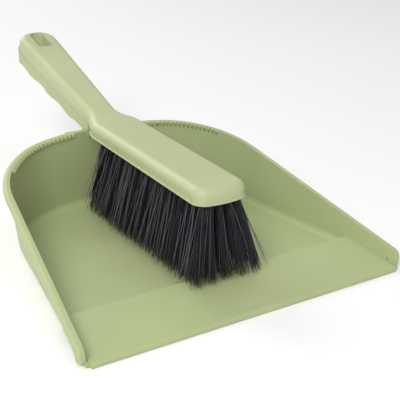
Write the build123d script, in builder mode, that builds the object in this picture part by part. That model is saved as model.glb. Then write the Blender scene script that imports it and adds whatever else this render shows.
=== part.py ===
from build123d import *
import math
import os

# Dust pan and brush set, in millimetres.
# The pan stands on its flat bottom with its lip towards -Y and its handle towards +Y.
# The origin is on the pan's bottom face, in the middle of its width.
# The brush lies over the pan, its handle nested on the pan's handle.
# Places on the tray are given behind its front edge. Places on the handles and
# the brush are given behind the inside of the back wall, and ahead of it if negative.

# ---------------------------------------------------------------- the pan
lip_y = -110.0            # front edge of the whole pan
tray_depth = 222.4        # from the front edge to the inside of the back wall, at the bottom
tray_width = 251.6        # inside, across the front edge, at the bottom
side_angle = 9.2          # each side wall turns in towards the back
corner_r = 67.0           # inside rear corners, at the bottom
back_r = 209.0            # the bowed back wall, at the bottom
wall_draft = 7.3          # walls lean outwards
wall = 2.2
floor_t = 2.0
inner_fillet = 6.0        # floor to wall, inside
outer_fillet = 4.0        # bottom to wall, outside
rim_front = 12.2          # rim height above the ground at the front edge
rim_slope = 0.22          # rise of the rim for each millimetre towards the back

# rolled rim
flange_w = 3.6
flange_drop = 4.2
flange_t = 1.6
flange_round = 2.8
nose_back = 4.0           # the walls stop this far behind the front edge
nose_round = 7.0
nose_low = 3.5            # the roll turns down along each wall's front edge to this height

# ramp between the lip and the floor
ridge_back = 52.0         # ridge line, behind the front edge
ridge_h = 8.7
ramp_front_h = 2.6
ramp_front_back = 2.5
sheet_t = 1.7
ramp_fillet = 4.0

# bristle comb on the rim's inner edge
tooth_pitch = 3.6
tooth_w = 2.3
tooth_out = 2.7
tooth_h = 2.4
comb_start_x = 26.0       # the first tooth stands this far from the middle
comb_end_angle = 26.0     # the last one, round the corner arc, from the side wall

# peg hole in each side wall, at the end of the lip strip
peg_hole_r = 1.1
peg_hole_back = 11.0
peg_hole_h = 5.6

# ---------------------------------------------------------------- soft lip strip
strip_depth = 8.5
strip_cover = 0.9         # over the ramp's front edge
strip_end_gap = 0.3

# ---------------------------------------------------------------- the nested handles
seam_back = 0.6           # a point on the seam
seam_over_rim = 7.9       # and its height over the rim of the back wall
seam_angle = 13.0
seat_gap = 0.2            # between the two handles
neck_back = 5.6
neck_half = 12.8
grip_back = 127.6         # where the grip is widest
grip_half = 17.4
handle_end = 147.6
end_round = 15.0
grip_wall = 2.2
pan_grip_h = 12.6
pan_grip_over = 4.0       # the pan's handle stands out past the brush's
finger_count = 4
finger_pitch = 34.6
finger_first = 22.6
finger_depth = 2.5
finger_r = 46.0
tongue_back = -0.9        # front of the root that carries the handle over the rim
tongue_half = 17.0
tongue_h = 9.0
root_flare = 32.0
root_t = 3.0

# hanging hole through both handles
hole_back = 115.6
hole_len = 26.0
hole_w = 12.6
hole_ring = 2.6
hole_corner = 1.5
pan_hole_margin = 0.6

# locating rib on the pan's handle, inside the brush's handle
rib_from = 23.6
rib_to = 103.6
rib_h = 4.0
rib_gap = 0.5

# ---------------------------------------------------------------- the brush
block_tip = -178.6
block_end = -6.4
block_half = 20.7
block_drop = 3.45         # its underside lies this far under the seam's point
block_t = 11.8
tip_bow = 3.6
tip_round = 10.0
top_round = 6.0
grip_t = 9.4              # brush handle over the seam, at the neck
grip_taper = 1.4          # its top climbs more steeply than the seam by this
bend_round = 45.0
bead_out = 0.8            # bead round the block's bottom edge
bead_h = 1.4
bead_round = 0.5
shoulder_back = -16.4
shoulder_round = 22.0
neck_round = 26.0
hollow_h = 6.4            # hollow under the handle, over the seam

# bristles
tuft_rows = 19
tuft_pitch = 8.0
tuft_first = -170.4
tuft_columns = 5
column_pitch = 7.2
hole_r = 2.2
hole_depth = 9.0
trim_over_ridge = 0.9     # the front row's tips clear the ridge by this
trim_over_floor = 3.2     # and the rear row's tips clear the floor by this
flare_x = 1.7             # the tips stand this many times further out than the roots
flare_front = 12.0
flare_rear = 2.5
tuft_tip_rx = 5.6
tuft_tip_ry = 3.9

# flat wire anchors that hold the tufts in their holes
anchor_w = 5.6
anchor_h = 1.8
anchor_t = 0.5
anchor_up = 6.2           # above the block's underside

# ---------------------------------------------------------------- worked out from these
draft = math.tan(math.radians(wall_draft))
turn = math.radians(side_angle)
top_angle = seam_angle + grip_taper
back_y = lip_y + tray_depth
back_centre_y = back_y - back_r
reach = 40.0              # cutting solids run this far past what they cut
tall = 140.0


def from_lip(distance):
    return lip_y + distance


def from_back(distance):
    return back_y + distance


def rim_height(y):
    return rim_front + rim_slope * (y - lip_y)


seam_h = rim_height(back_y) + seam_over_rim
block_h = seam_h - block_drop
trim_front = ridge_h + trim_over_ridge
trim_rear = floor_t + trim_over_floor


def back_rim_y(x):
    """Inner edge of the rim over the back wall, at x."""
    r = back_r + rim_height(back_y) * draft
    return back_centre_y + math.sqrt(r**2 - x**2)


def corner_centre():
    """Centre of the rear corner arc, which touches the side wall and the back wall."""
    start_x = tray_width / 2 - corner_r * math.cos(turn)
    start_y = lip_y - corner_r * math.sin(turn)
    gap = start_y - back_centre_y
    along = -start_x * math.sin(turn) + gap * math.cos(turn)
    span = start_x**2 + gap**2 - (back_r - corner_r) ** 2
    s = -along + math.sqrt(along**2 - span)
    return start_x - s * math.sin(turn), start_y + s * math.cos(turn)


corner_x, corner_y = corner_centre()
corner_end = math.atan2(corner_y - back_centre_y, corner_x)


def on_corner(angle, grow):
    r = corner_r + grow
    return corner_x + r * math.cos(angle), corner_y + r * math.sin(angle)


def side_x(y, grow):
    """Half the width between the side walls at y."""
    x, y_start = on_corner(turn, grow)
    return x + (y_start - y) * math.tan(turn)


def tray_outline(grow, height=0):
    """Outline of the tray at the ground, grown outwards, drawn at a height."""
    front_y = lip_y - reach
    side_end = on_corner(turn, grow)
    corner_mid = on_corner((turn + corner_end) / 2, grow)
    back_end = on_corner(corner_end, grow)
    half_bow = (corner_end + math.pi / 2) / 2
    r = back_r + grow
    bow_mid = (r * math.cos(half_bow), back_centre_y + r * math.sin(half_bow))
    with BuildSketch(Plane.XY.offset(height)) as outline:
        with BuildLine():
            Line((0, front_y), (side_x(front_y, grow), front_y))
            Line((side_x(front_y, grow), front_y), side_end)
            ThreePointArc(side_end, corner_mid, back_end)
            ThreePointArc(back_end, bow_mid, (0, back_y + grow))
            mirror(about=Plane.YZ)
        make_face()
    return outline.sketch


def rim_band(drop, depth):
    """Side view of the band that lies between `drop` and `drop + depth` under the rim."""
    front = from_lip(nose_back) + drop
    back = back_y + reach
    with BuildSketch(Plane.YZ) as band:
        with BuildLine():
            Polyline(
                (front, rim_height(front) - drop - depth),
                (front, rim_height(front) - drop),
                (back, rim_height(back) - drop),
                (back, rim_height(back) - drop - depth),
                close=True,
            )
        make_face()
        nose = band.vertices().sort_by_distance((front, rim_height(front) - drop))[0]
        fillet(nose, min(nose_round - drop, 0.9 * depth))
    return band.sketch


def flared_band(grow, drop, depth):
    """The solid inside the grown outline, as far as the band goes."""
    with BuildPart() as solid:
        extrude(tray_outline(grow), amount=tall, taper=-wall_draft)
        extrude(rim_band(drop, depth), amount=tray_width, both=True, mode=Mode.INTERSECT)
    return solid.part


def flared_block(grow, low, round_r):
    """The grown outline from height `low` upwards, its bottom edges rounded."""
    with BuildPart() as solid:
        extrude(tray_outline(grow + low * draft, low), amount=tall, taper=-wall_draft)
        fillet(solid.faces().sort_by(Axis.Z)[0].edges(), round_r)
    return solid.part


def side_prism(points):
    """A side view drawn in Y and Z, drawn out across the whole width."""
    with BuildPart() as solid:
        with BuildSketch(Plane.YZ):
            with BuildLine():
                Polyline(*points, close=True)
            make_face()
        extrude(amount=tray_width, both=True)
    return solid.part


ramp_front_y = from_lip(ramp_front_back)
ridge_y = from_lip(ridge_back)
ramp_rise = (ridge_h - ramp_front_h) / (ridge_y - ramp_front_y)


def ramp_top(y):
    return ramp_front_h + ramp_rise * (y - ramp_front_y)


def seam_z(back):
    return seam_h + math.tan(math.radians(seam_angle)) * (back - seam_back)


def handle_outline(over, grow):
    """Plan of a handle from its neck to its rounded end, grown or shrunk."""
    end = from_back(handle_end + over)
    with BuildSketch() as plan:
        with BuildLine():
            Polyline(
                (-neck_half, from_back(tongue_back)),
                (neck_half, from_back(tongue_back)),
                (neck_half, from_back(neck_back)),
                (grip_half, from_back(grip_back)),
                (grip_half, end),
                (-grip_half, end),
                (-grip_half, from_back(grip_back)),
                (-neck_half, from_back(neck_back)),
                close=True,
            )
        make_face()
        fillet(plan.vertices().group_by(Axis.Y)[-1], end_round)
        if grow:
            offset(amount=grow, kind=Kind.INTERSECTION)
    return plan.sketch


def arch_hole(margin):
    """Hanging hole: straight towards the head, round towards the end."""
    half = hole_w / 2 + margin
    low = from_back(hole_back) - margin
    high = low + hole_len - half + 2 * margin
    with BuildSketch() as arch:
        with BuildLine():
            Line((-half, high), (-half, low))
            Line((-half, low), (half, low))
            Line((half, low), (half, high))
            ThreePointArc((half, high), (0, high + half), (-half, high))
        make_face()
        fillet(arch.vertices().group_by(Axis.Y)[0], hole_corner)
    return arch.sketch


def seam_prism(low_drop, high_drop, start, end):
    """A slab along the seam, between two depths under it."""
    return side_prism([
        (from_back(start), seam_z(start) - low_drop),
        (from_back(end), seam_z(end) - low_drop),
        (from_back(end), seam_z(end) - high_drop),
        (from_back(start), seam_z(start) - high_drop),
    ])


# ---------------------------------------------------------------- dust pan
def comb_places():
    """Centre, radius and direction of each tooth along the rim, on one side."""
    places = []
    bow = math.asin(comb_start_x / back_r)
    while math.pi / 2 - bow > corner_end:
        places.append((0, back_centre_y, back_r, math.pi / 2 - bow))
        bow += tooth_pitch / back_r
    angle = corner_end
    while angle > turn + math.radians(comb_end_angle):
        places.append((corner_x, corner_y, corner_r, angle))
        angle -= tooth_pitch / (corner_r + rim_height(corner_y) * draft)
    return places


def make_tooth(side, centre_x, centre_y, r, angle):
    """One wedge-shaped tooth, standing inwards from the wall."""
    lean = 1 - rim_slope * draft * math.sin(angle)
    top = rim_height(centre_y + r * math.sin(angle)) / lean
    out = r + top * draft
    x = side * (centre_x + out * math.cos(angle))
    y = centre_y + out * math.sin(angle)
    heading = math.degrees(angle) if side > 0 else 180 - math.degrees(angle)
    with BuildPart() as tooth:
        with BuildSketch(Plane(origin=(x, y, top - tooth_h), z_dir=(0, 0, 1)).rotated((0, 0, heading))):
            Polygon(
                (wall / 2, tooth_w / 2),
                (-tooth_h * draft, tooth_w / 2),
                (-tooth_out, 0),
                (-tooth_h * draft, -tooth_w / 2),
                (wall / 2, -tooth_w / 2),
                align=None,
            )
        extrude(amount=tooth_h + 3)
    return tooth.part


def make_comb():
    """Small teeth on the inner edge of the rim, from the handle round each rear corner."""
    teeth = [make_tooth(side, *place) for place in comb_places() for side in (1, -1)]
    with BuildPart() as comb:
        add(teeth)
        extrude(rim_band(0, tall), amount=tray_width, both=True, mode=Mode.INTERSECT)
    return comb.part


def make_roll():
    """The rim's outward roll, open underneath."""
    with BuildPart() as roll:
        add(flared_band(wall + flange_w, 0, tall))
        crown = roll.faces().filter_by(GeomType.PLANE).sort_by(Axis.Z)[-1]
        nose = roll.faces().filter_by(GeomType.CYLINDER)
        front = roll.faces().sort_by(Axis.Y)[0]
        edges = crown.edges() + nose.edges() + front.edges()
        fillet([e for e in edges if abs(e.tangent_at(0.5).X) < 0.999 or e.center().Y > 0], flange_round)
        extrude(rim_band(flange_drop, tall), amount=tray_width, both=True, mode=Mode.SUBTRACT)
        with BuildSketch():
            Rectangle(2 * tray_width, 2 * tray_depth)
        extrude(amount=nose_low, mode=Mode.SUBTRACT)
        with BuildPart(mode=Mode.PRIVATE) as under:
            add(flared_band(wall + flange_w - flange_t, flange_t, tall))
            add(flared_band(wall / 2, 0, tall), mode=Mode.SUBTRACT)
        add(under.part, mode=Mode.SUBTRACT)
    return roll.part


def make_tray_space():
    """The space inside the tray: over the floor, and over the ramp."""
    with BuildPart() as floor_space:
        add(flared_block(0, floor_t, inner_fillet))
        add(
            side_prism([
                (ridge_y, 0),
                (back_y + reach, 0),
                (back_y + reach, tall),
                (ridge_y, tall),
            ]),
            mode=Mode.INTERSECT,
        )
    with BuildPart() as ramp_space:
        add(flared_band(0, -tall / 2, tall))
        add(
            side_prism([
                (lip_y - reach, ramp_top(lip_y - reach)),
                (ridge_y, ridge_h),
                (ridge_y, tall),
                (lip_y - reach, tall),
            ]),
            mode=Mode.INTERSECT,
        )
        sides = ramp_space.edges().filter_by(lambda e: abs(e.tangent_at(0.5).Y) > 0.9)
        fillet(sides.group_by(Axis.Z)[0], ramp_fillet)
    return floor_space.part, ramp_space.part


def make_root():
    """The part of the handle that passes over the rim, and the plate that blends it in."""
    with BuildPart() as root:
        with BuildSketch():
            Polygon(
                (-root_flare, back_rim_y(root_flare)),
                (-tongue_half, from_back(tongue_back)),
                (tongue_half, from_back(tongue_back)),
                (root_flare, back_rim_y(root_flare)),
                (root_flare, back_rim_y(0) + wall),
                (-root_flare, back_rim_y(0) + wall),
                align=None,
            )
        extrude(amount=tall)
        extrude(rim_band(0, root_t), amount=tray_width, both=True, mode=Mode.INTERSECT)
    with BuildPart() as neck:
        extrude(handle_outline(0, 0), amount=tall)
        add(seam_prism(0, tongue_h, tongue_back, neck_back + tongue_h), mode=Mode.INTERSECT)
    return root.part, neck.part


def make_pan_handle():
    """Handle open underneath, with finger scallops."""
    start = neck_back
    end = handle_end + reach
    with BuildPart() as handle:
        extrude(handle_outline(pan_grip_over, 0), amount=tall)
        add(seam_prism(0, pan_grip_h, start, end), mode=Mode.INTERSECT)
        with BuildPart(mode=Mode.PRIVATE) as inside:
            extrude(handle_outline(pan_grip_over, -grip_wall), amount=tall)
            add(seam_prism(grip_wall, tall, start, end), mode=Mode.INTERSECT)
        add(inside.part, mode=Mode.SUBTRACT)
        slope = math.radians(seam_angle)
        for i in range(finger_count):
            back = finger_first + i * finger_pitch
            below = pan_grip_h / math.cos(slope) + finger_r - finger_depth
            centre = (from_back(back) + below * math.sin(slope), seam_z(back) - below * math.cos(slope))
            with BuildSketch(Plane.YZ):
                with Locations(centre):
                    Circle(finger_r)
            extrude(amount=grip_half + reach, both=True, mode=Mode.SUBTRACT)
    return handle.part


def make_rib():
    """Raised rib on the pan's handle that locates the brush's hollow handle."""
    with BuildPart() as rib:
        extrude(handle_outline(0, -grip_wall - rib_gap), amount=tall)
        add(seam_prism(-rib_h, grip_wall / 2, rib_from, rib_to), mode=Mode.INTERSECT)
        with BuildPart(mode=Mode.PRIVATE) as core:
            extrude(handle_outline(0, -2 * grip_wall - rib_gap), amount=tall)
            add(seam_prism(-tall, tall, rib_from + grip_wall, rib_to - grip_wall), mode=Mode.INTERSECT)
        add(core.part, mode=Mode.SUBTRACT)
    return rib.part


def make_dust_pan():
    under_y = ridge_y - sheet_t
    with BuildPart() as dust_pan:
        # walls, floor and ramp, still filled in
        add(flared_block(wall, 0, outer_fillet))
        add(flared_band(wall, 0, tall), mode=Mode.INTERSECT)
        with BuildPart(mode=Mode.PRIVATE) as sheet:
            add(flared_block(wall, 0, outer_fillet))
            add(
                side_prism([
                    (ramp_front_y, ramp_front_h - sheet_t),
                    (ramp_front_y, ramp_front_h),
                    (ridge_y, ridge_h),
                    (ridge_y, ridge_h - sheet_t),
                ]),
                mode=Mode.INTERSECT,
            )
        add(sheet.part)
        add(make_roll())
        add(make_root())
        # the spaces over and under it
        add(make_tray_space(), mode=Mode.SUBTRACT)
        add(
            side_prism([
                (lip_y - reach, -reach),
                (under_y, -reach),
                (under_y, ramp_top(under_y) - sheet_t),
                (lip_y - reach, ramp_top(lip_y - reach) - sheet_t),
            ]),
            mode=Mode.SUBTRACT,
        )
        add(make_comb())
        add(make_pan_handle())
        add(make_rib())
        extrude(arch_hole(pan_hole_margin), amount=tall, mode=Mode.SUBTRACT)
        with BuildSketch(Plane.YZ):
            with Locations((from_lip(peg_hole_back), peg_hole_h)):
                Circle(peg_hole_r)
        extrude(amount=tray_width, both=True, mode=Mode.SUBTRACT)
    dust_pan.part.label = "dust_pan"
    return dust_pan.part


# ---------------------------------------------------------------- soft lip strip
def make_front_lip():
    """Soft strip pushed over the front edge of the ramp, resting on the ground."""
    rear = from_lip(strip_depth)
    top_front = ramp_front_h + strip_cover
    half = side_x(rear, 0) - strip_end_gap
    with BuildPart() as front_lip:
        with BuildSketch(Plane.YZ) as section:
            with BuildLine():
                Polyline(
                    (lip_y, 0),
                    (rear, 0),
                    (rear, ramp_top(rear) - sheet_t),
                    (ramp_front_y, ramp_front_h - sheet_t),
                    (ramp_front_y, ramp_front_h),
                    (rear, ramp_top(rear)),
                    (rear, ramp_top(rear) + strip_cover / 2),
                    (ramp_front_y, top_front),
                    (lip_y, top_front - strip_cover),
                    close=True,
                )
            make_face()
            fillet(section.vertices().group_by(Axis.X)[0], strip_cover / 2)
        extrude(amount=half, both=True)
    front_lip.part.label = "front_lip"
    return front_lip.part


# ---------------------------------------------------------------- brush
def brush_side():
    """Side view of the brush's body."""
    top = block_h + block_t
    climb = math.tan(math.radians(top_angle))
    bend = seam_back + (top - grip_t - seam_h) / climb
    end_top = top + climb * (handle_end - bend)
    with BuildSketch(Plane.YZ) as side:
        with BuildLine():
            Polyline(
                (from_back(block_tip), block_h),
                (from_back(block_end), block_h),
                (from_back(block_end), seam_z(block_end) + seat_gap),
                (from_back(handle_end), seam_z(handle_end) + seat_gap),
                (from_back(handle_end), end_top),
                (from_back(bend), top),
                (from_back(block_tip), top),
                close=True,
            )
        make_face()
        knee = side.vertices().sort_by_distance((from_back(bend), top))[0]
        fillet(knee, bend_round)
    return side.sketch


def brush_plan():
    """Plan of the brush's body: block, neck and grip."""
    end = from_back(handle_end)
    tip = from_back(block_tip)
    with BuildSketch() as plan:
        with BuildLine():
            Line((block_half, tip + tip_bow), (block_half, from_back(shoulder_back)))
            Line((block_half, from_back(shoulder_back)), (neck_half, from_back(neck_back)))
            Line((neck_half, from_back(neck_back)), (grip_half, from_back(grip_back)))
            Line((grip_half, from_back(grip_back)), (grip_half, end))
            Line((grip_half, end), (0, end))
            mirror(about=Plane.YZ)
            ThreePointArc((-block_half, tip + tip_bow), (0, tip), (block_half, tip + tip_bow))
        make_face()
        fillet(plan.vertices().group_by(Axis.Y)[-1], end_round)
        fillet(plan.vertices().group_by(Axis.Y)[0], tip_round)
        for back, r in ((shoulder_back, shoulder_round), (neck_back, neck_round)):
            fillet(plan.vertices().filter_by(lambda v: abs(v.Y - from_back(back)) < 0.01), r)
    return plan.sketch


def tuft_rows_back():
    return [tuft_first + i * tuft_pitch for i in range(tuft_rows)]


def tuft_columns_x():
    middle = (tuft_columns - 1) / 2
    return [(i - middle) * column_pitch for i in range(tuft_columns)]


def make_brush_body():
    """Block and handle in one moulding, the handle hollow underneath."""
    with BuildPart() as brush_body:
        extrude(brush_plan(), amount=tall)
        extrude(brush_side(), amount=tray_width, both=True, mode=Mode.INTERSECT)
        upper = brush_body.faces().filter_by(lambda f: f.normal_at().Z > 0.9)
        # the lines between the upper faces run straight across, and aren't rounded
        bowed_tip = upper.edges().filter_by(lambda e: e.center().Y < from_back(block_tip + tip_bow))
        sides = upper.edges().filter_by(lambda e: abs(e.tangent_at(0.5).X) < 0.99)
        fillet(bowed_tip + sides, top_round)
        with BuildPart(mode=Mode.PRIVATE) as bead:
            with BuildSketch(Plane.XY.offset(block_h)):
                add(brush_plan())
                offset(amount=bead_out)
            extrude(amount=bead_h)
            ends = bead.faces().group_by(Axis.Z)
            fillet(ends[0].edges() + ends[-1].edges(), bead_round)
            with BuildSketch():
                with Locations((0, from_back(block_end))):
                    Rectangle(tray_width, tray_depth, align=(Align.CENTER, Align.MAX))
            extrude(amount=tall, mode=Mode.INTERSECT)
        add(bead.part)
        # hollow under the handle, with a ring left round the hanging hole
        with BuildPart(mode=Mode.PRIVATE) as hollow:
            extrude(handle_outline(0, -grip_wall), amount=tall)
            add(
                seam_prism(-hollow_h, tall, rib_from - rib_gap, handle_end),
                mode=Mode.INTERSECT,
            )
            with BuildPart(mode=Mode.PRIVATE) as ring:
                extrude(arch_hole(hole_ring), amount=tall)
            add(ring.part, mode=Mode.SUBTRACT)
        add(hollow.part, mode=Mode.SUBTRACT)
        extrude(arch_hole(0), amount=tall, mode=Mode.SUBTRACT)
        with BuildSketch(Plane.XY.offset(block_h)):
            with Locations([(x, from_back(b)) for b in tuft_rows_back() for x in tuft_columns_x()]):
                Circle(hole_r)
        extrude(amount=hole_depth, mode=Mode.SUBTRACT)
    brush_body.part.label = "brush_body"
    return brush_body.part


def make_anchor_row(back):
    """Flat wire anchors driven across the holes of one row."""
    with BuildPart() as row:
        with Locations([(x, from_back(back), block_h + anchor_up) for x in tuft_columns_x()]):
            Box(anchor_w, anchor_t, anchor_h)
    return row.part


def make_tuft_row(index, back):
    """The tufts of one row: folded round their anchors, spreading to the trimmed tips."""
    share = index / (tuft_rows - 1)
    tip_back = back - flare_front * (1 - share) ** 2 + flare_rear * share**2
    tip_h = trim_front + (trim_rear - trim_front) * share
    with BuildPart() as row:
        for x in tuft_columns_x():
            with BuildSketch(Plane.XY.offset(block_h)):
                with Locations((x, from_back(back))):
                    Circle(hole_r)
            extrude(amount=hole_depth)
            with BuildSketch(Plane.XY.offset(block_h)):
                with Locations((x, from_back(back))):
                    Circle(hole_r)
            with BuildSketch(Plane.XY.offset(tip_h)):
                with Locations((x * flare_x, from_back(tip_back))):
                    Ellipse(tuft_tip_rx, tuft_tip_ry)
            loft()
        add(make_anchor_row(back), mode=Mode.SUBTRACT)
    row.part.label = "bristle_row_" + str(index + 1).zfill(2)
    return row.part


def make_anchors():
    with BuildPart() as anchors:
        add([make_anchor_row(back) for back in tuft_rows_back()])
    anchors.part.label = "tuft_anchors"
    return anchors.part


if __name__ == "__main__":
    os.makedirs("parts", exist_ok=True)
    pieces = [make_dust_pan(), make_front_lip(), make_brush_body(), make_anchors()]
    pieces += [make_tuft_row(i, back) for i, back in enumerate(tuft_rows_back())]
    for piece in pieces:
        export_step(piece, "parts/" + piece.label + ".step")
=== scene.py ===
import itertools
import math
import random

import bmesh
import bpy
from bpy.props import FloatProperty, FloatVectorProperty, IntProperty, PointerProperty
from mathutils import Matrix, Vector


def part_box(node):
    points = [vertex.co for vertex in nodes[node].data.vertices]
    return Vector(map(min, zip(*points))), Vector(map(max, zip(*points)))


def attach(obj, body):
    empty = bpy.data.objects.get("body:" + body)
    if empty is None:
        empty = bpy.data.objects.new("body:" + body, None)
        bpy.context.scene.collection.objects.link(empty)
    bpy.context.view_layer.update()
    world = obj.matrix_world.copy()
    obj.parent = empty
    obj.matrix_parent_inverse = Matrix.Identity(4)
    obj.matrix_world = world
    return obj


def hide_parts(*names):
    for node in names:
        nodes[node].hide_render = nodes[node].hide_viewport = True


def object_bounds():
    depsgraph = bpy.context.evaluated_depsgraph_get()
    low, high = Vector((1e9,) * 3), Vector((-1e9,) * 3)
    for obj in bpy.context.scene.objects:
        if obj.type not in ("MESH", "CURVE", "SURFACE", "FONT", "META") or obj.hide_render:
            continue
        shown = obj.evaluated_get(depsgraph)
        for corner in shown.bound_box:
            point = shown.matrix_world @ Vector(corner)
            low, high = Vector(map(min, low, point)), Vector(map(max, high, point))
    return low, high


bl_info = {
    "name": "Dust Pan and Brush",
    "version": (1, 0, 0),
    "blender": (4, 5, 0),
    "location": "View3D > Sidebar > Dust Pan",
    "description": "Moulded plastic finishes and real bristles for a dust pan and its hand brush",
    "category": "Object",
}

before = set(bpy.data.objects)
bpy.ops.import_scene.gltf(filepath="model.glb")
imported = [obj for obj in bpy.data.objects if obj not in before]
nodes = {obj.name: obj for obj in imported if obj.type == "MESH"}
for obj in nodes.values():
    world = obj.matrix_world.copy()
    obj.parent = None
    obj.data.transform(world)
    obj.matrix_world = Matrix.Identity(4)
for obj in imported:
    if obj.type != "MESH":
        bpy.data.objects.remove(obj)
cad_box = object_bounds()
bristle_rows = sorted(name for name in nodes if name.startswith("bristle_row_"))


# ------------------------------------------------------------------ settings
class DustPanPlastic(bpy.types.PropertyGroup):
    """Colours and surface of the moulded pieces."""

    pan_colour: FloatVectorProperty(
        name="Pan colour",
        description="Sage green of the dust pan",
        subtype="COLOR",
        size=4,
        default=(0.422, 0.482, 0.241, 1.0),
    )
    brush_colour: FloatVectorProperty(
        name="Brush colour",
        description="Sage green of the brush's block and handle",
        subtype="COLOR",
        size=4,
        default=(0.475, 0.520, 0.290, 1.0),
    )
    lip_colour: FloatVectorProperty(
        name="Lip colour",
        description="Green of the soft lip strip",
        subtype="COLOR",
        size=4,
        default=(0.425, 0.485, 0.245, 1.0),
    )
    anchor_colour: FloatVectorProperty(
        name="Anchor colour",
        description="Bright drawn wire of the tuft anchors",
        subtype="COLOR",
        size=4,
        default=(0.62, 0.60, 0.56, 1.0),
    )
    roughness: FloatProperty(
        name="Roughness",
        description="How satin the moulded surface is",
        default=0.44,
        min=0.0,
        max=1.0,
        subtype="FACTOR",
    )
    grain_size: FloatProperty(
        name="Grain size",
        description="Width of the fine grain that the mould leaves",
        default=0.0007,
        min=0.0001,
        unit="LENGTH",
    )
    cloud_size: FloatProperty(
        name="Cloud size",
        description="Width of the faint uneven patches in the pigment",
        default=0.06,
        min=0.005,
        unit="LENGTH",
    )


class DustPanBristles(bpy.types.PropertyGroup):
    """The filaments of the brush."""

    root_colour: FloatVectorProperty(
        name="Bristle colour",
        description="Near black of most filaments",
        subtype="COLOR",
        size=4,
        default=(0.0115, 0.0100, 0.0150, 1.0),
    )
    # Also the painted highlight colour: every stray filament gets this pale grey.
    pale_and_highlight_colour: FloatVectorProperty(
        name="Pale bristle colour",
        description="Grey of the few paler filaments",
        subtype="COLOR",
        size=4,
        default=(0.120, 0.116, 0.132, 1.0),
    )
    width: FloatProperty(
        name="Filament width",
        description="Diameter of one filament",
        default=0.00042,
        min=0.0001,
        unit="LENGTH",
    )
    per_tuft: IntProperty(
        name="Filaments per tuft",
        description="How many filaments stand out of one hole",
        default=72,
        min=1,
    )
    bend: FloatProperty(
        name="Bend",
        description="How far a filament bows out of straight, at its middle",
        default=0.0016,
        min=0.0,
        unit="LENGTH",
    )
    ragged: FloatProperty(
        name="Ragged ends",
        description="Spread of the filaments' lengths",
        default=0.0026,
        min=0.0,
        unit="LENGTH",
    )
    # These stray filaments are also painted pale, as a painted highlight.
    stray_share: FloatProperty(
        name="Stray share",
        description="Share of the outer tufts' filaments that have been bent out of them",
        default=0.045,
        min=0.0,
        max=1.0,
        subtype="FACTOR",
    )
    stray_reach: FloatProperty(
        name="Stray reach",
        description="How far a stray filament's tip leaves its tuft",
        default=0.010,
        min=0.0,
        unit="LENGTH",
    )
    seed: IntProperty(name="Seed", description="Changes how the filaments fall", default=7)


class DustPanStage(bpy.types.PropertyGroup):
    """Floor, lights and camera."""

    floor_colour: FloatVectorProperty(
        name="Floor colour",
        description="Pale studio floor",
        subtype="COLOR",
        size=4,
        default=(0.95, 0.95, 0.95, 1.0),
    )
    sky_strength: FloatProperty(
        name="Sky strength",
        description="Even light from all round",
        default=0.46,
        min=0.0,
    )
    key_power: FloatProperty(
        name="Key power",
        description="Large soft lamp at the front left",
        default=17.0,
        min=0.0,
        unit="POWER",
    )
    top_power: FloatProperty(
        name="Top power",
        description="Large soft lamp overhead",
        default=3.0,
        min=0.0,
        unit="POWER",
    )
    back_power: FloatProperty(
        name="Back power",
        description="Large soft lamp behind, for the sheen on upward faces",
        default=20.0,
        min=0.0,
        unit="POWER",
    )
    view_target: FloatVectorProperty(
        name="View target",
        description="The camera looks at this point",
        size=3,
        subtype="XYZ",
        unit="LENGTH",
        default=(0.04835, 0.04097, 0.01667),
    )
    view_azimuth: FloatProperty(
        name="View azimuth",
        description="Turn of the camera from straight ahead, towards the pan's left",
        default=math.radians(32.84),
        subtype="ANGLE",
    )
    view_elevation: FloatProperty(
        name="View elevation",
        description="Height of the camera over the horizon",
        default=math.radians(23.69),
        subtype="ANGLE",
    )
    view_roll: FloatProperty(
        name="View roll",
        description="Tilt of the camera about its own axis",
        default=math.radians(1.238),
        subtype="ANGLE",
    )
    view_distance: FloatProperty(
        name="View distance",
        description="From the camera to the point that it looks at",
        default=0.753,
        min=0.1,
        unit="LENGTH",
    )
    view_angle: FloatProperty(
        name="View angle",
        description="Width of the camera's field of view",
        default=math.radians(24.404),
        subtype="ANGLE",
    )


# ------------------------------------------------------------------ materials
def add_node(tree, kind, inputs=None, **settings):
    """A shader node of this kind, with its settings and its unlinked inputs."""
    node = tree.nodes.new("ShaderNode" + kind)
    for name, value in settings.items():
        setattr(node, name, value)
    for name, value in (inputs or {}).items():
        node.inputs[name].default_value = value
    return node


def new_material(name):
    """An empty material with a Principled shader, its tree, and Object coordinates."""
    material = bpy.data.materials.new(name)
    material.use_nodes = True
    tree = material.node_tree
    tree.nodes.clear()
    shader = add_node(tree, "BsdfPrincipled")
    output = add_node(tree, "OutputMaterial")
    tree.links.new(shader.outputs["BSDF"], output.inputs["Surface"])
    coordinates = add_node(tree, "TexCoord")
    return material, tree, shader, coordinates.outputs["Object"]


def noise(tree, coordinates, size, detail=2.0, stretch=(1.0, 1.0, 1.0)):
    """Noise whose features are about this wide, in metres, drawn out along an axis by its stretch."""
    mapping = add_node(tree, "Mapping", {"Scale": [1 / s for s in stretch]})
    texture = add_node(tree, "TexNoise", {"Scale": 1 / size, "Detail": detail})
    tree.links.new(coordinates, mapping.inputs["Vector"])
    tree.links.new(mapping.outputs["Vector"], texture.inputs["Vector"])
    return texture.outputs["Fac"]


def spread(tree, value, low, high, start=0.3, end=0.7):
    """A value of 0.3 to 0.7, such as a noise gives, spread from low to high."""
    stretch = add_node(tree, "MapRange", {"From Min": start, "From Max": end, "To Min": low, "To Max": high})
    tree.links.new(value, stretch.inputs["Value"])
    return stretch.outputs["Result"]


def colour_band(tree, value, stops):
    """A colour for each value, from a list of (value, colour)."""
    ramp = add_node(tree, "ValToRGB")
    elements = ramp.color_ramp.elements
    while len(elements) < len(stops):
        elements.new(0.5)
    for element, (place, colour) in zip(elements, stops):
        element.position = place
        element.color = colour
    tree.links.new(value, ramp.inputs["Fac"])
    return ramp.outputs["Color"]


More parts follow.
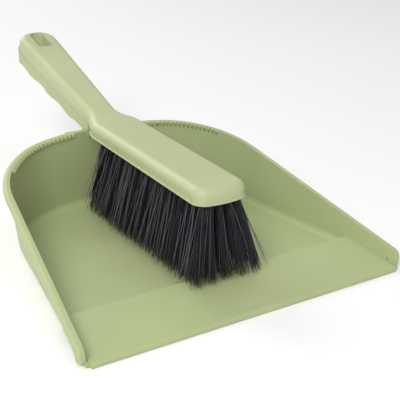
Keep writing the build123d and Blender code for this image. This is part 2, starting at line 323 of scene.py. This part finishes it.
def shade(colour, factor):
    return [min(1.0, c * factor) for c in colour[:3]] + [1.0]


def moulded_plastic(name, colour, settings, grain_depth=0.00004, scuffs=0.05):
    """Satin moulded plastic: clouded pigment, fine mould grain, and faint scuffs from sweeping."""
    material, tree, shader, place = new_material(name)
    clouds = noise(tree, place, settings.cloud_size, detail=3.0)
    tint = colour_band(tree, clouds, [(0.35, shade(colour, 0.965)), (0.65, shade(colour, 1.03))])
    tree.links.new(tint, shader.inputs["Base Color"])
    rubbed = noise(tree, place, 0.004, detail=4.0, stretch=(1.0, 9.0, 1.0))
    rough = spread(tree, rubbed, settings.roughness - scuffs, settings.roughness + scuffs)
    tree.links.new(rough, shader.inputs["Roughness"])
    grain = noise(tree, place, settings.grain_size, detail=1.5)
    bump = add_node(tree, "Bump", {"Strength": 0.35, "Distance": grain_depth})
    tree.links.new(grain, bump.inputs["Height"])
    tree.links.new(bump.outputs["Normal"], shader.inputs["Normal"])
    shader.inputs["IOR"].default_value = 1.49
    return material


def soft_rubber(name, colour, settings):
    """Soft strip material, duller than the pan, scuffed along the floor."""
    material = moulded_plastic(name, colour, settings, grain_depth=0.00006, scuffs=0.07)
    shader = next(n for n in material.node_tree.nodes if n.type == "BSDF_PRINCIPLED")
    shader.inputs["Specular IOR Level"].default_value = 0.4
    return material


def drawn_wire(name, colour):
    """Bright flat wire with fine drawing lines along its length."""
    material, tree, shader, place = new_material(name)
    lines = noise(tree, place, 0.0002, stretch=(30.0, 1.0, 1.0))
    tree.links.new(spread(tree, lines, 0.22, 0.42), shader.inputs["Roughness"])
    tint = colour_band(tree, lines, [(0.3, shade(colour, 0.85)), (0.7, shade(colour, 1.05))])
    tree.links.new(tint, shader.inputs["Base Color"])
    shader.inputs["Metallic"].default_value = 1.0
    return material


def filament_material(name, settings):
    """Glossy dark filaments, each with its own tone; the stray ones all get the palest tone as a painted
    highlight.
    """
    material, tree, shader, _ = new_material(name)
    tone_and_highlight = add_node(tree, "Attribute", attribute_name="tone_and_highlight")
    stops = [
        (0.0, shade(settings.root_colour, 0.7)),
        (0.86, shade(settings.root_colour, 1.6)),
        (1.0, settings.pale_and_highlight_colour[:]),
    ]
    tree.links.new(colour_band(tree, tone_and_highlight.outputs["Fac"], stops), shader.inputs["Base Color"])
    tree.links.new(spread(tree, tone_and_highlight.outputs["Fac"], 0.30, 0.44, 0.0, 1.0), shader.inputs["Roughness"])
    return material


def finish_node(name, material):
    """Gives a CAD node its material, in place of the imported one."""
    slots = nodes[name].material_slots
    for slot in slots:
        slot.material = material
    if not slots:
        nodes[name].data.materials.append(material)


# ------------------------------------------------------------------ bristles
FLAT = 1e-5              # points this close in height lie in one ring
TUFTS_IN_ROW = 5
SIDES = 4                # of one filament
RINGS = (0.05, 0.25, 0.48, 0.70, 0.88)    # where a filament can bend, as shares of its length
SUNK = 0.003             # a filament starts this far up its hole
TAPER_FROM = 0.80        # the last part of a filament is worn thin
TIP_WIDTH = 0.35
LONGEST = 0.0012         # the longest tips reach this far under the trimmed ones
ROOT_FILL = 0.88         # share of the hole's radius that the filaments fill
FAN = 0.75               # how far a tip keeps its filament's place in the tuft
MIX = 0.45               # and how far it wanders from it
STRAY_LIFT = 0.008       # most that a stray tip is bent up
WIDTH_RANGE = (0.85, 1.15)
DARK_BIAS = 1.3          # above 1, more filaments are dark than pale


def split_columns(points, count):
    """Points of separate tufts that stand side by side along X, as one list for each tuft."""
    ordered = sorted(points, key=lambda p: p.x)
    gaps = sorted(range(1, len(ordered)), key=lambda i: ordered[i].x - ordered[i - 1].x)
    cuts = [0] + sorted(gaps[len(gaps) - count + 1:]) + [len(ordered)]
    return [ordered[a:b] for a, b in zip(cuts, cuts[1:])]


def ring_shape(points):
    """Centre and half widths of a flat ring of points."""
    low = Vector([min(p[i] for p in points) for i in range(3)])
    high = Vector([max(p[i] for p in points) for i in range(3)])
    return (low + high) / 2, (high - low) / 2


def tuft_ends(name, block_under):
    """Mouth and tip of each tuft in a row, each a centre and half widths."""
    points = [v.co.copy() for v in nodes[name].data.vertices]
    tip_height = min(p.z for p in points)
    tips = [p for p in points if p.z < tip_height + FLAT]
    tops = [p for p in points if p.z > max(q.z for q in tips) + FLAT and p.z > block_under + FLAT]
    mouths = split_columns(tops, TUFTS_IN_ROW)
    return list(zip(map(ring_shape, mouths), map(ring_shape, split_columns(tips, TUFTS_IN_ROW))))


def straight_filament():
    """One upright filament of unit width and height, with a ring wherever it will bend."""
    bm = bmesh.new()
    bmesh.ops.create_cone(bm, cap_ends=True, segments=SIDES, radius1=0.5, radius2=0.5, depth=1.0)
    bmesh.ops.translate(bm, verts=bm.verts, vec=(0, 0, 0.5))
    for height in RINGS:
        geometry = bm.verts[:] + bm.edges[:] + bm.faces[:]
        bmesh.ops.bisect_plane(bm, geom=geometry, plane_co=(0, 0, height), plane_no=(0, 0, 1))
    for face in bm.faces:
        face.smooth = True
    mesh = bpy.data.meshes.new("filament")
    bm.to_mesh(mesh)
    bm.free()
    return mesh


def filament_bundle(count):
    """As many upright filaments as a row holds, one after another in one place."""
    mesh = straight_filament()
    bm = bmesh.new()
    bm.from_mesh(mesh)
    sizes = [len(bm.verts), len(bm.edges), len(bm.faces)]
    made = 1
    while made < count:
        more = min(made, count - made)
        kinds = zip((bm.verts, bm.edges, bm.faces), sizes)
        bmesh.ops.duplicate(bm, geom=[item for kind, size in kinds for item in kind[:more * size]])
        made += more
    bm.to_mesh(mesh)
    bm.free()
    return mesh


def in_disc(chance):
    """A random point in a disc of radius 1."""
    angle = chance.uniform(0, 2 * math.pi)
    radius = math.sqrt(chance.random())
    return Vector((radius * math.cos(angle), radius * math.sin(angle), 0))


def filament_line(mouth, tip, settings, chance, stray_and_highlit):
    """Start, bend and end of one filament."""
    (mouth_at, mouth_half), (tip_at, tip_half) = mouth, tip
    spot = in_disc(chance)
    fan = spot * FAN + in_disc(chance) * MIX
    start = mouth_at + Vector((spot.x * mouth_half.x, spot.y * mouth_half.y, 0)) * ROOT_FILL
    end = tip_at + Vector((fan.x * tip_half.x, fan.y * tip_half.y, 0))
    end.z += abs(chance.gauss(0, settings.ragged)) - LONGEST * chance.random()
    if stray_and_highlit:
        away = Vector((tip_at.x, 0, 0)).normalized() + Vector((0, chance.uniform(-1, 1), 0))
        end += away * settings.stray_reach * chance.uniform(0.4, 1.0)
        end.z += chance.uniform(0.0, STRAY_LIFT)
    bow = Vector((chance.gauss(0, 1), chance.gauss(0, 1), 0)) * settings.bend / 2
    return start, (start + end) / 2 + bow, end


def filament_width(share):
    """Width along a filament, as a share of its full width."""
    if share < TAPER_FROM:
        return 1.0
    return 1.0 + (TIP_WIDTH - 1.0) * (share - TAPER_FROM) / (1.0 - TAPER_FROM)


def place_filament(verts, tone_and_highlight_layer, line, width, tone_and_highlight):
    """Bends a straight filament along its line."""
    start, bend, end = line
    along = (end - start).normalized()
    side = (Vector((1, 0, 0)) - along * along.x).normalized()
    other = along.cross(side)
    for vert in verts:
        share = vert.co.z
        centre = start * (1 - share) ** 2 + bend * 2 * share * (1 - share) + end * share**2
        if share == 0:
            centre.z += SUNK
        size = width * filament_width(share)
        vert.co = centre + (side * vert.co.x + other * vert.co.y) * size
        vert[tone_and_highlight_layer] = tone_and_highlight


def make_bristle_row(name, bundle, settings, material):
    """The filaments of one row, fanned out of their holes to ragged tips."""
    chance = random.Random(settings.seed + int(name[-2:]))
    block_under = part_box("brush_body")[0].z
    tufts = tuft_ends(name, block_under)
    bm = bmesh.new()
    bm.from_mesh(bundle)
    tone_and_highlight_layer = bm.verts.layers.float.new("tone_and_highlight")
    verts = iter(bm.verts[:])
    size = len(bm.verts) // (TUFTS_IN_ROW * settings.per_tuft)
    for column, (mouth, tip) in enumerate(tufts):
        mouth[0].z = block_under
        outer = column in (0, TUFTS_IN_ROW - 1) or name in (bristle_rows[0], bristle_rows[-1])
        for _ in range(settings.per_tuft):
            stray_and_highlit = outer and chance.random() < settings.stray_share
            line = filament_line(mouth, tip, settings, chance, stray_and_highlit)
            width = settings.width * chance.uniform(*WIDTH_RANGE)
            # Stray filaments get the palest tone, a painted highlight for thin strands that catch the light;
            # the others get a random tone of their own.
            tone_and_highlight = 1.0 if stray_and_highlit else chance.random() ** DARK_BIAS
            place_filament(list(itertools.islice(verts, size)), tone_and_highlight_layer, line, width, tone_and_highlight)
    mesh = bpy.data.meshes.new(name.replace("bristle_row", "filaments"))
    bm.to_mesh(mesh)
    bm.free()
    mesh.materials.append(material)
    row = bpy.data.objects.new(mesh.name, mesh)
    bpy.context.scene.collection.objects.link(row)
    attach(row, "brush")
    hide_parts(name)


# ------------------------------------------------------------------ stage
def make_floor(settings):
    """A wide flat floor that the pan stands on."""
    bm = bmesh.new()
    bmesh.ops.create_grid(bm, x_segments=1, y_segments=1, size=6.0)
    mesh = bpy.data.meshes.new("floor")
    bm.to_mesh(mesh)
    bm.free()
    material, tree, shader, place = new_material("studio_floor")
    paper = noise(tree, place, 0.5)
    stops = [(0.3, shade(settings.floor_colour, 0.99)), (0.7, shade(settings.floor_colour, 1.01))]
    tree.links.new(colour_band(tree, paper, stops), shader.inputs["Base Color"])
    shader.inputs["Roughness"].default_value = 0.9
    mesh.materials.append(material)
    floor = bpy.data.objects.new("floor", mesh)
    bpy.context.scene.collection.objects.link(floor)


def make_lamp(name, place, size, power, target):
    """A square soft lamp that points at the target."""
    light = bpy.data.lights.new(name, "AREA")
    light.size = size
    light.energy = power
    lamp = bpy.data.objects.new(name, light)
    lamp.location = place
    lamp.visible_camera = False
    lamp.rotation_mode = "QUATERNION"
    lamp.rotation_quaternion = (target - Vector(place)).to_track_quat("-Z", "Y")
    bpy.context.scene.collection.objects.link(lamp)


def make_sky(strength):
    world = bpy.data.worlds.new("studio")
    world.use_nodes = True
    background = world.node_tree.nodes["Background"]
    background.inputs["Color"].default_value = (1, 1, 1, 1)
    background.inputs["Strength"].default_value = strength
    bpy.context.scene.world = world


def make_camera(settings):
    a, e = settings.view_azimuth, settings.view_elevation
    ahead = Vector((math.sin(a) * math.cos(e), math.cos(a) * math.cos(e), -math.sin(e)))
    level = Vector((math.cos(a), -math.sin(a), 0))
    roll = Matrix.Rotation(-settings.view_roll, 3, ahead)
    right = roll @ level
    up = right.cross(ahead)
    turn = Matrix((right, up, -ahead)).transposed().to_4x4()
    lens = bpy.data.cameras.new("camera")
    lens.angle = settings.view_angle
    camera = bpy.data.objects.new("camera", lens)
    place = Vector(settings.view_target) - ahead * settings.view_distance
    camera.matrix_world = Matrix.Translation(place) @ turn
    bpy.context.scene.collection.objects.link(camera)
    bpy.context.scene.camera = camera


# ------------------------------------------------------------------ operators
class DUSTPAN_OT_stage(bpy.types.Operator):
    """Sets up the floor, the lamps and the camera."""

    bl_idname = "dustpan.stage"
    bl_label = "Stage"

    def execute(self, context):
        settings = context.scene.dustpan_stage
        make_camera(settings)
        make_floor(settings)
        make_sky(settings.sky_strength)
        middle = (cad_box[0] + cad_box[1]) / 2
        make_lamp("key_lamp", (-0.95, -0.75, 1.15), 0.8, settings.key_power, middle)
        make_lamp("top_lamp", (0.15, 0.10, 1.50), 1.2, settings.top_power, middle)
        make_lamp("back_lamp", (-0.30, 2.20, 1.20), 1.4, settings.back_power, middle)
        context.scene.view_settings.view_transform = "Standard"
        return {"FINISHED"}


class DUSTPAN_OT_pan(bpy.types.Operator):
    """Finishes the dust pan in moulded plastic."""

    bl_idname = "dustpan.pan"
    bl_label = "Dust pan"

    def execute(self, context):
        settings = context.scene.dustpan_plastic
        finish_node("dust_pan", moulded_plastic("pan_plastic", settings.pan_colour, settings))
        return {"FINISHED"}


class DUSTPAN_OT_lip(bpy.types.Operator):
    """Finishes the soft lip strip."""

    bl_idname = "dustpan.lip"
    bl_label = "Front lip"

    def execute(self, context):
        settings = context.scene.dustpan_plastic
        finish_node("front_lip", soft_rubber("lip_rubber", settings.lip_colour, settings))
        return {"FINISHED"}


class DUSTPAN_OT_brush(bpy.types.Operator):
    """Finishes the brush's block and handle in moulded plastic."""

    bl_idname = "dustpan.brush"
    bl_label = "Brush body"

    def execute(self, context):
        settings = context.scene.dustpan_plastic
        material = moulded_plastic("brush_plastic", settings.brush_colour, settings, scuffs=0.03)
        finish_node("brush_body", material)
        return {"FINISHED"}


class DUSTPAN_OT_anchors(bpy.types.Operator):
    """Finishes the wire anchors that hold the tufts."""

    bl_idname = "dustpan.anchors"
    bl_label = "Tuft anchors"

    def execute(self, context):
        settings = context.scene.dustpan_plastic
        finish_node("tuft_anchors", drawn_wire("anchor_wire", settings.anchor_colour))
        return {"FINISHED"}


class DUSTPAN_OT_bristles(bpy.types.Operator):
    """Makes the filaments of every row of tufts."""

    bl_idname = "dustpan.bristles"
    bl_label = "Bristles"

    def execute(self, context):
        settings = context.scene.dustpan_bristles
        material = filament_material("bristle_filament", settings)
        bundle = filament_bundle(TUFTS_IN_ROW * settings.per_tuft)
        for name in bristle_rows:
            make_bristle_row(name, bundle, settings, material)
        bpy.data.meshes.remove(bundle)
        return {"FINISHED"}


class DUSTPAN_PT_panel(bpy.types.Panel):
    """Lists the settings and the steps of the dust pan and brush."""

    bl_idname = "DUSTPAN_PT_panel"
    bl_label = "Dust Pan and Brush"
    bl_space_type = "VIEW_3D"
    bl_region_type = "UI"
    bl_category = "Dust Pan"

    def draw(self, context):
        for group, owner in SETTINGS.items():
            box = self.layout.box()
            for name in owner.__annotations__:
                box.prop(getattr(context.scene, group), name)
        for step in STEPS:
            self.layout.operator(step.bl_idname)


SETTINGS = {
    "dustpan_plastic": DustPanPlastic,
    "dustpan_bristles": DustPanBristles,
    "dustpan_stage": DustPanStage,
}
STEPS = (
    DUSTPAN_OT_stage,
    DUSTPAN_OT_pan,
    DUSTPAN_OT_lip,
    DUSTPAN_OT_brush,
    DUSTPAN_OT_anchors,
    DUSTPAN_OT_bristles,
)
CLASSES = (*SETTINGS.values(), *STEPS, DUSTPAN_PT_panel)


def register():
    for cls in CLASSES:
        bpy.utils.register_class(cls)
    for group, owner in SETTINGS.items():
        setattr(bpy.types.Scene, group, PointerProperty(type=owner))


def unregister():
    for group in SETTINGS:
        delattr(bpy.types.Scene, group)
    for cls in reversed(CLASSES):
        bpy.utils.unregister_class(cls)


def main():
    register()
    bpy.ops.dustpan.stage()
    bpy.ops.dustpan.pan()
    bpy.ops.dustpan.lip()
    bpy.ops.dustpan.brush()
    bpy.ops.dustpan.anchors()
    bpy.ops.dustpan.bristles()


if __name__ == "__main__":
    main()
